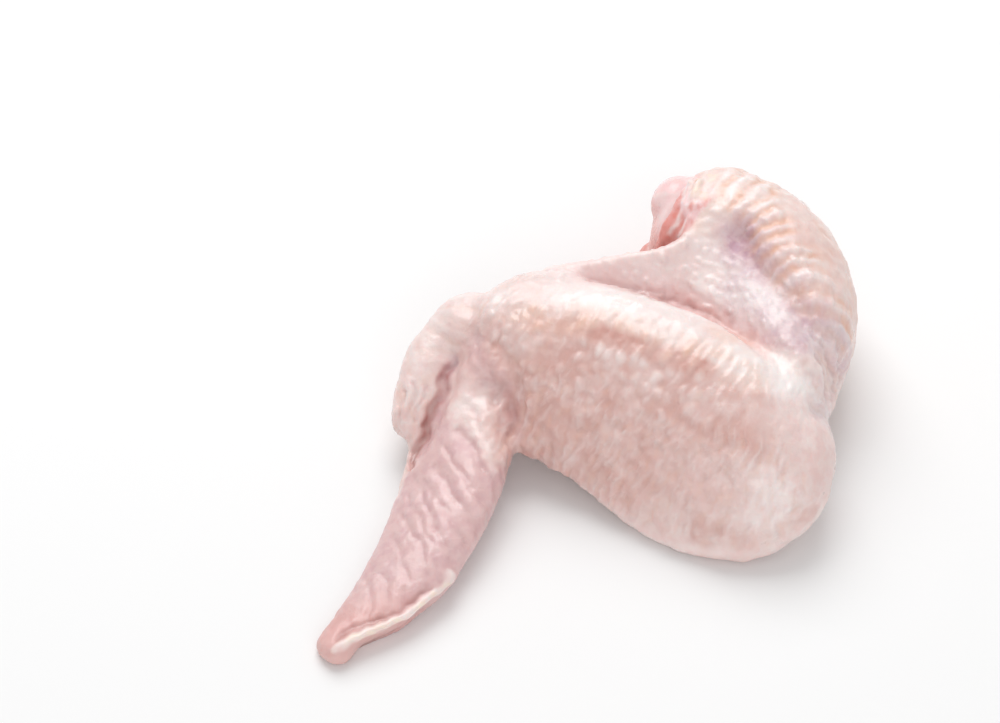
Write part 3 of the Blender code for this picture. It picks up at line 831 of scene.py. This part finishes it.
def fat_bead_tree():
    """The tree that sets uneven beads of fat along a path."""
    tree, given, made = geometry_tree(
        "Fat beads", (("Bead Radius", 0.001), ("Spacing", 0.0012)), "NodeSocketInt")
    points = add_node(tree, "GeometryNodeCurveToPoints", (
        ("Curve", given.outputs["Geometry"]), ("Length", given.outputs["Spacing"])), mode="LENGTH")
    bead = add_node(tree, "GeometryNodeMeshIcoSphere", (
        ("Radius", given.outputs["Bead Radius"]), ("Subdivisions", 3)))
    size, turn, stray = (
        add_node(tree, "FunctionNodeRandomValue", ((0, least), (1, most), ("Seed", given.outputs["Seed"])),
                 data_type="FLOAT_VECTOR").outputs[0]
        for least, most in (((0.5, 0.5, 0.45), (1.3, 1.3, 0.9)), ((0.0,) * 3, (3.1,) * 3),
                            ((-0.0005,) * 3, (0.0005,) * 3)))
    strewn = add_node(tree, "GeometryNodeSetPosition", (
        ("Geometry", points.outputs["Points"]), ("Offset", stray)))
    beads = add_node(tree, "GeometryNodeInstanceOnPoints", (
        ("Points", strewn.outputs[0]), ("Instance", bead.outputs["Mesh"]), ("Rotation", turn),
        ("Scale", size)))
    return end_tree(tree, given, made, beads.outputs[0])


def grow(thing, tree, values):
    """Runs a geometry tree on an object with named values, and gives its result as a plain mesh."""
    modifier = thing.modifiers.new(tree.name, "NODES")
    modifier.node_group = tree
    sockets = {item.name: item.identifier for item in tree.interface.items_tree if item.in_out == "INPUT"}
    for label, value in values.items():
        modifier[sockets[label]] = value
    return baked(thing, thing.name + "_grown")


def mottle_group():
    """Shader group: a mask of soft patches that breaks up a colour."""
    tree, given, made = new_tree(
        "Mottle", "ShaderNodeTree",
        (("Scale", "NodeSocketFloat", 100.0),
         ("Low", "NodeSocketFloat", 0.4),
         ("High", "NodeSocketFloat", 0.6),
         ("Shift", "NodeSocketFloat", 0.0)),
        (("Mask", "NodeSocketFloat", None),))
    place = add_node(tree, "ShaderNodeTexCoord").outputs["Object"]
    noise = add_node(tree, "ShaderNodeTexNoise", (
        ("Vector", place), ("W", given.outputs["Shift"]), ("Scale", given.outputs["Scale"]),
        ("Detail", 2.0), ("Roughness", 0.55)), noise_dimensions="4D").outputs[0]
    mask = ramp(tree, noise, given.outputs["Low"], given.outputs["High"], kind="SMOOTHSTEP")
    tree.links.new(mask, made.inputs[0])
    return tree


def wet_film_group():
    """Shader group: the roughness and the fine height of a moist surface."""
    tree, given, made = new_tree(
        "Wet film", "ShaderNodeTree",
        (("Driest", "NodeSocketFloat", 0.5),
         ("Wettest", "NodeSocketFloat", 0.25)),
        (("Roughness", "NodeSocketFloat", None), ("Film", "NodeSocketFloat", None),
         ("Pores", "NodeSocketFloat", None)))
    place = add_node(tree, "ShaderNodeTexCoord").outputs["Object"]
    drying = add_node(tree, "ShaderNodeTexNoise", (
        ("Vector", place), ("Scale", 130.0), ("Detail", 3.0))).outputs[0]
    roughness = ramp(tree, drying, 0.35, 0.65, given.outputs["Driest"], given.outputs["Wettest"])
    film = ramp(tree, drying, 0.35, 0.65, 0.1, 0.42)
    grain = add_node(tree, "ShaderNodeTexNoise", (
        ("Vector", place), ("Scale", 1500.0), ("Detail", 3.0))).outputs[0]
    net = add_node(tree, "ShaderNodeTexVoronoi", (
        ("Vector", place), ("Scale", 1050.0)), feature="SMOOTH_F1").outputs["Distance"]
    pores = sums(tree, "SUBTRACT", grain, product(tree, net, 0.6))
    for index, result in enumerate((roughness, film, pores)):
        tree.links.new(result, made.inputs[index])
    return tree


def mottling(tree, mottle, scale, low, high, shift=0.0):
    """A mask of soft patches in a material."""
    return add_node(tree, "ShaderNodeGroup", (
        ("Scale", scale), ("Low", low), ("High", high), ("Shift", shift)), node_tree=mottle).outputs[0]


def blend_colour(tree, share, first, second):
    """One colour turned into another by a share of 0 to 1."""
    node = add_node(tree, "ShaderNodeMix", data_type="RGBA")
    for socket, value in ((0, share), (6, first), (7, second)):
        if isinstance(value, bpy.types.NodeSocket):
            tree.links.new(value, node.inputs[socket])
        elif socket == 0:
            node.inputs[socket].default_value = value
        else:
            node.inputs[socket].default_value = (*value, 1)
    return node.outputs[2]


def layered(tree, base, layers):
    """A colour with others laid over it in turn; each is a colour and the factors of its share."""
    for colour, *factors in layers:
        base = blend_colour(tree, product(tree, *factors), base, colour)
    return base


def varied(tree, mask, least, more):
    """A share that starts at the least and gains more where the mask is full."""
    return sums(tree, "ADD", least, product(tree, mask, more))


def mask_from(tree, name):
    """A share stored on the points, in a material."""
    return add_node(tree, "ShaderNodeAttribute", attribute_name=name).outputs["Fac"]


def flesh_shader(name, weight, reach):
    """A material for moist flesh that lets light in; reach is how far, in metres."""
    material = bpy.data.materials.new(name)
    material.use_nodes = True
    tree = material.node_tree
    shader = tree.nodes["Principled BSDF"]
    shader.inputs["Subsurface Weight"].default_value = weight
    shader.inputs["Subsurface Radius"].default_value = (1.0, 0.6, 0.5)
    shader.inputs["Subsurface Scale"].default_value = reach
    shader.inputs["Coat Roughness"].default_value = 0.2
    shader.inputs["Specular IOR Level"].default_value = 0.45
    return material, tree, shader


def finish_surface(tree, shader, base, film_group, driest, wettest, height, strength):
    """Colour, wetness and fine relief for a material."""
    tree.links.new(base, shader.inputs["Base Color"])
    film = add_node(
        tree, "ShaderNodeGroup", (("Driest", driest), ("Wettest", wettest)), node_tree=film_group)
    tree.links.new(film.outputs["Roughness"], shader.inputs["Roughness"])
    tree.links.new(film.outputs["Film"], shader.inputs["Coat Weight"])
    bump = add_node(tree, "ShaderNodeBump", (
        ("Strength", strength), ("Distance", height), ("Height", film.outputs["Pores"])))
    tree.links.new(bump.outputs[0], shader.inputs["Normal"])


def skin_material(colours, mottle, film):
    """Raw skin: pale fat, blush, bluish-violet and peach-brown patches under a wet film, with painted shade
    in creases, grooves and the pits between bumps, and painted highlights on bump tops.
    """
    material, tree, shader = flesh_shader("Raw skin", 0.3, 0.0018)
    wide = mottling(tree, mottle, 75.0, 0.38, 0.62)
    patches = mottling(tree, mottle, 150.0, 0.44, 0.6, 3.0)
    specks = mottling(tree, mottle, 420.0, 0.4, 0.66, 9.0)
    follicle = mask_from(tree, "follicle")
    streak = mask_from(tree, "streak")
    # The pits between bumps and ridges, which get painted shade.
    between = sums(tree, "SUBTRACT", 1.0, follicle)
    base = layered(tree, colours.skin, (
        (colours.pale, wide, 0.35),
        (colours.pink, specks, 0.25),
        (colours.pink, mask_from(tree, "pink"), varied(tree, wide, 0.55, 0.4)),
        # Bluish-violet: the skin's own tone, with painted shade in the valley and creases.
        (colours.lilac_and_shade, mask_from(tree, "lilac_and_shade"), varied(tree, specks, 0.5, 0.35)),
        # Less blush on bump tops: part of their painted highlight.
        (colours.blush, mask_from(tree, "blush"), varied(tree, patches, 0.5, 0.33),
         varied(tree, follicle, 1.0, -0.45)),
        # Raised fine folds paler and sunk ones darker: painted light and shade that follows the relief.
        (colours.pale, ramp(tree, streak, 0.01, 0.14, 0.0, 0.2)),
        (colours.tan, ramp(tree, streak, -0.01, -0.14, 0.0, 0.3)),
        (colours.pale, mask_from(tree, "pale"), varied(tree, wide, 0.6, 0.3)),
        # Peach-brown in the pits between bumps and ridges: painted shade.
        (colours.tan, mask_from(tree, "tan"), between, varied(tree, patches, 0.45, 0.6)),
        (colours.tan, follicle, mask_from(tree, "peach")),
        # Dusky pits along the band: painted shade.
        (colours.blush, mask_from(tree, "dusky"), between, varied(tree, patches, 0.65, 0.5)),
        # Pale bump tops: painted highlight.
        (colours.pale, follicle, mask_from(tree, "bump_highlight")),
        # Darker in grooves and creases: painted shade; the spots among them are the skin's own.
        (colours.crease_shade_and_spots, mask_from(tree, "groove"), 0.22),
        (colours.crease_shade_and_spots, mask_from(tree, "crease_shade_and_spots")),
    ))
    flesh = layered(tree, colours.muscle, (
        (colours.muscle_red_and_shade, specks, 0.6),
        # Redder lower in the cut: painted shade.
        (colours.muscle_red_and_shade, mask_from(tree, "raw_depth_shade")),
        (colours.pale, mask_from(tree, "membrane"), 0.6),
    ))
    base = layered(tree, base, (
        (flesh, mask_from(tree, "raw")),
        (colours.fat, mask_from(tree, "fat_tint"), varied(tree, specks, 0.1, 0.6)),
    ))
    finish_surface(tree, shader, base, film, 0.46, 0.27, 0.00012, 0.5)
    return material


def muscle_material(colours, mottle, film):
    """Wet pink muscle, with a red painted shadow in the hollow round it."""
    material, tree, shader = flesh_shader("Shoulder muscle", 0.35, 0.0025)
    fibre = mask_from(tree, "fibre")
    base = layered(tree, colours.muscle, (
        (colours.pale, mottling(tree, mottle, 160.0, 0.4, 0.65), 0.3),
        (colours.blush, fibre, 0.35),
        # Red in the hollow at the lower left: painted shadow.
        (colours.muscle_red_and_shade, mask_from(tree, "hollow")),
        (colours.pale, ramp(tree, fibre, 0.56, 0.72, 0.0, 0.45)),
        (colours.fat, mask_from(tree, "seam"), 0.3),
    ))
    finish_surface(tree, shader, base, film, 0.38, 0.2, 0.0001, 0.4)
    return material


def fat_material(colours, mottle, film):
    """Soft yellowish fat with pink in it."""
    material, tree, shader = flesh_shader("Cut fat", 0.2, 0.0006)
    patches = mottling(tree, mottle, 350.0, 0.4, 0.62)
    base = layered(tree, colours.fat, ((colours.muscle, patches, 0.4),))
    finish_surface(tree, shader, base, film, 0.4, 0.22, 0.0001, 0.4)
    return material


def shared(name, maker):
    """A node group that is made once."""
    return bpy.data.node_groups.get(name) or maker()


def made_material(maker):
    """A material in the scene's colours, with the shared groups."""
    return maker(
        bpy.context.scene.wing_colours, shared("Mottle", mottle_group), shared("Wet film", wet_film_group))


def finished(thing, name, nodes=()):
    """Names a piece, sets its body, and lets it stand for its nodes."""
    thing.name = name
    thing.data.name = name
    for face in thing.data.polygons:
        face.use_smooth = True
    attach(thing, "root")
    if nodes:
        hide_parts(*nodes)


class WING_OT_skin(Operator):
    """Makes the skin of the whole wing"""

    bl_idname = "wing.skin"
    bl_label = "Skin"

    def execute(self, context):
        sizes = context.scene.wing_sizes
        whole = joined([merged_copy("wing", "wing_copy"), filler(sizes.skin_cell)], "whole_wing")
        whole = even_skin(whole, sizes.skin_cell, WHOLE_ROUNDS)
        skin = even_skin(joined([whole, *skin_rolls()], "skin"), sizes.skin_cell, ROLL_ROUNDS)
        tuck_tip(skin.data)
        press_folds(skin.data)
        lay_out_skin(skin.data)
        material = made_material(skin_material)
        skin = grow(skin, skin_relief_tree(), {
            "Follicle Height": sizes.follicle_height,
            "Follicle Scatter": sizes.follicle_scatter,
            "Ridge Height": sizes.ridge_height,
            "Lump Height": sizes.lump_height,
            "Streak Height": sizes.streak_height,
            "Seed": float(sizes.seed),
            "Material": material,
        })
        set_points(skin.data, read_points(skin.data)[0])
        finished(skin, "wing_skin", ("wing",))
        return {"FINISHED"}


class WING_OT_muscle(Operator):
    """Makes the muscle that shows at the shoulder cut"""

    bl_idname = "wing.muscle"
    bl_label = "Shoulder muscle"

    def execute(self, context):
        sizes = context.scene.wing_sizes
        muscle = even_skin(merged_copy("shoulder_flesh", "muscle"), MUSCLE_CELL, MUSCLE_ROUNDS)
        drawn = as_drawn(read_points(muscle.data)[0])
        along, girth, _ = limb_place(drawn, DRUMETTE_BONE, 13, 14)
        keep_values(muscle.data, "fibre_place", np.stack((girth / 2.0, along / 11, girth * 0), axis=1))
        # Lower down and further left the muscle gets a red painted shadow.
        hollow = ease(38 - drawn[:, 2] - 0.6 * (drawn[:, 0] - 16), 7, 16)
        keep_values(muscle.data, "hollow", 0.75 * hollow)
        seams = np.max([near(wavered(drawn), smooth_line(line), 0.2, 1.8) for line in MUSCLE_SEAMS], axis=0)
        keep_values(muscle.data, "seam", seams)
        material = made_material(muscle_material)
        muscle = grow(muscle, muscle_relief_tree(), {
            "Fibre Height": sizes.fibre_height,
            "Seed": float(sizes.seed),
            "Material": material,
        })
        finished(muscle, "shoulder_muscle", ("shoulder_flesh",))
        return {"FINISHED"}


class WING_OT_fat(Operator):
    """Makes the beads of fat between the muscle and the skin at the cut"""

    bl_idname = "wing.fat"
    bl_label = "Fat at the cut"

    def execute(self, context):
        sizes = context.scene.wing_sizes
        skin = bpy.data.objects.get("wing_skin")
        if skin is None:
            raise RuntimeError("the skin has to be made before the fat that lies on it")
        curve = bpy.data.curves.new("fat_path", "CURVE")
        curve.dimensions = "3D"
        for size, out, first, last in FAT_ROWS:
            line = round_cut(size, out, np.radians(np.linspace(first, last, 12)))
            spline = curve.splines.new("POLY")
            spline.points.add(len(line) - 1)
            for point, spot in zip(spline.points, line):
                _, place, normal, _ = skin.closest_point_on_mesh(in_place(spot))
                point.co = (*(place - 0.4 * sizes.fat_bead * normal), 1)
        material = made_material(fat_material)
        beads = grow(placed("fat_path", curve), fat_bead_tree(), {
            "Bead Radius": sizes.fat_bead,
            "Spacing": 1.3 * sizes.fat_bead,
            "Seed": sizes.seed,
            "Material": material,
        })
        fat = even_skin(beads, FAT_CELL, FAT_ROUNDS)
        fat.data.materials.clear()
        fat.data.materials.append(material)
        finished(fat, "cut_fat")
        return {"FINISHED"}


def area_light(name, power, size, spot, aim):
    """A soft square light at a spot, turned to face its aim."""
    lamp = bpy.data.lights.new(name, "AREA")
    lamp.size = size
    lamp.energy = power
    thing = placed(name, lamp)
    thing.location = spot
    thing.rotation_euler = (Vector(aim) - Vector(spot)).to_track_quat("-Z", "Y").to_euler()


class WING_OT_stage(Operator):
    """Makes the floor, the lights, the white room and the camera"""

    bl_idname = "wing.stage"
    bl_label = "Stage"

    def execute(self, context):
        scene = context.scene
        stage = scene.wing_stage
        bpy.ops.mesh.primitive_plane_add(size=6, location=(0, 0, 0))
        floor = context.object
        floor.name = "floor"
        paint = bpy.data.materials.new("Floor")
        paint.use_nodes = True
        shader = paint.node_tree.nodes["Principled BSDF"]
        shader.inputs["Base Color"].default_value = (*stage.floor, 1)
        shader.inputs["Roughness"].default_value = 0.8
        shader.inputs["Specular IOR Level"].default_value = 0.1
        floor.data.materials.append(paint)
        area_light("overhead light", stage.overhead, *OVERHEAD_LIGHT)
        area_light("front light", stage.front, *FRONT_LIGHT)
        room = bpy.data.worlds.new("White room")
        room.use_nodes = True
        glow = room.node_tree.nodes["Background"]
        glow.inputs["Color"].default_value = (1, 1, 1, 1)
        glow.inputs["Strength"].default_value = stage.surround
        scene.world = room
        camera = bpy.data.cameras.new("camera")
        camera.lens = stage.lens
        camera.sensor_width = 36
        camera.dof.use_dof = False
        camera.clip_start = 0.01
        eye = placed("camera", camera)
        eye.location = EYE
        eye.rotation_euler = (math.radians(EYE_TILT), 0, 0)
        scene.camera = eye
        scene.view_settings.view_transform = "Standard"
        return {"FINISHED"}


STEPS = ("wing.skin", "wing.muscle", "wing.fat", "wing.stage")


class WING_PT_parts(Panel):
    """Lists the steps that dress the wing"""

    bl_label = "Raw chicken wing"
    bl_idname = "WING_PT_parts"
    bl_space_type = "VIEW_3D"
    bl_region_type = "UI"
    bl_category = "Wing"

    def draw(self, context):
        for step in STEPS:
            self.layout.operator(step)
        for group in (context.scene.wing_sizes, context.scene.wing_colours, context.scene.wing_stage):
            for label in group.__annotations__:
                self.layout.prop(group, label)


CLASSES = (WingSizes, WingColours, StageSettings, WING_OT_skin, WING_OT_muscle, WING_OT_fat,
           WING_OT_stage, WING_PT_parts)


def register():
    for kind in CLASSES:
        bpy.utils.register_class(kind)
    bpy.types.Scene.wing_sizes = PointerProperty(type=WingSizes)
    bpy.types.Scene.wing_colours = PointerProperty(type=WingColours)
    bpy.types.Scene.wing_stage = PointerProperty(type=StageSettings)


def unregister():
    del bpy.types.Scene.wing_stage
    del bpy.types.Scene.wing_colours
    del bpy.types.Scene.wing_sizes
    for kind in reversed(CLASSES):
        bpy.utils.unregister_class(kind)


def main():
    """Makes every piece in order."""
    register()
    bpy.ops.wing.skin()
    bpy.ops.wing.muscle()
    bpy.ops.wing.fat()
    bpy.ops.wing.stage()


if __name__ == "__main__":
    main()
